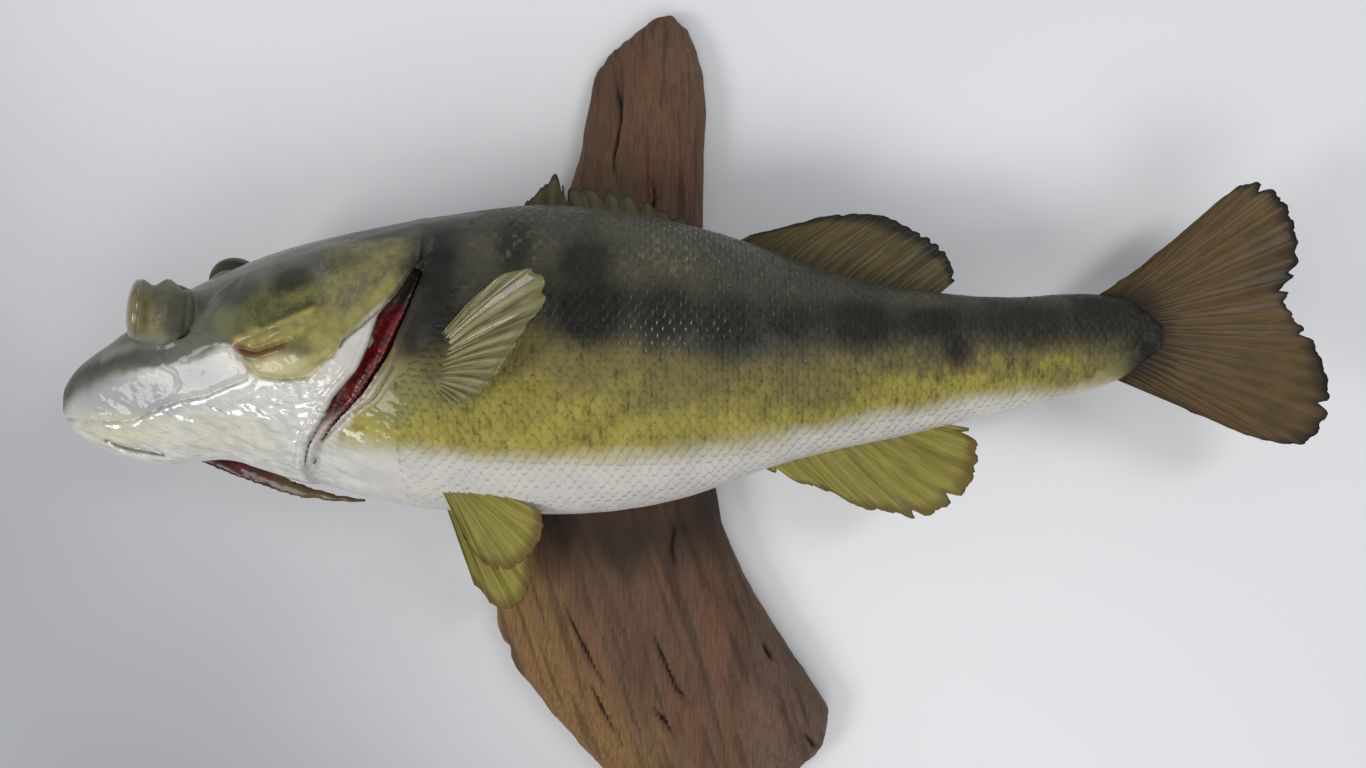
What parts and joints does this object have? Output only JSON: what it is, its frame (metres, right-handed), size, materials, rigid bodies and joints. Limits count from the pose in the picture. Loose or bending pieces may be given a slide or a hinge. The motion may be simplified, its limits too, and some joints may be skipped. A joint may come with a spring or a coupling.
{
  "type": "mounted largemouth bass",
  "caption": "Still life-size mounted largemouth bass with painted varnished skin, fixed by its right flank to a length of driftwood, lying on the wood's flat back.",
  "frame": {"origin": "middle of the part's own box in plan, at the level of the driftwood's flat back", "axes": "+X from the snout to the tail, +Y from the belly to the back, +Z out of the fish's left flank, away from the wood"},
  "size_m": [0.5057, 0.353, 0.1158],
  "materials": {
    "skin": "painted and varnished fish skin, gloss",
    "gills": "painted, satin",
    "eye_glass": "painted glass, gloss",
    "eye_filler": "painted filler, satin",
    "fin_brown": "dried fin, varnished",
    "fin_green": "dried fin, varnished",
    "driftwood": "weathered, bare"
  },
  "bodies": {
    "root": {"head": "skin", "lower_jaw": "skin", "gill_cover_left": "skin", "gill_cover_right": "skin", "gill_flare_right": "skin", "trunk": "skin", "tail_stem": "skin", "gills": "gills", "eye_left": "eye_glass", "eye_right": "eye_glass", "eye_filler_left": "eye_filler", "dorsal_fin_spiny": "fin_brown", "dorsal_fin_soft": "fin_brown", "caudal_fin": "fin_brown", "anal_fin": "fin_green", "pelvic_fin_left": "fin_green", "pelvic_fin_right": "fin_green", "pectoral_fin_left": "fin_green", "pectoral_fin_right": "fin_green", "driftwood": "driftwood"}
  },
  "joints": []
}
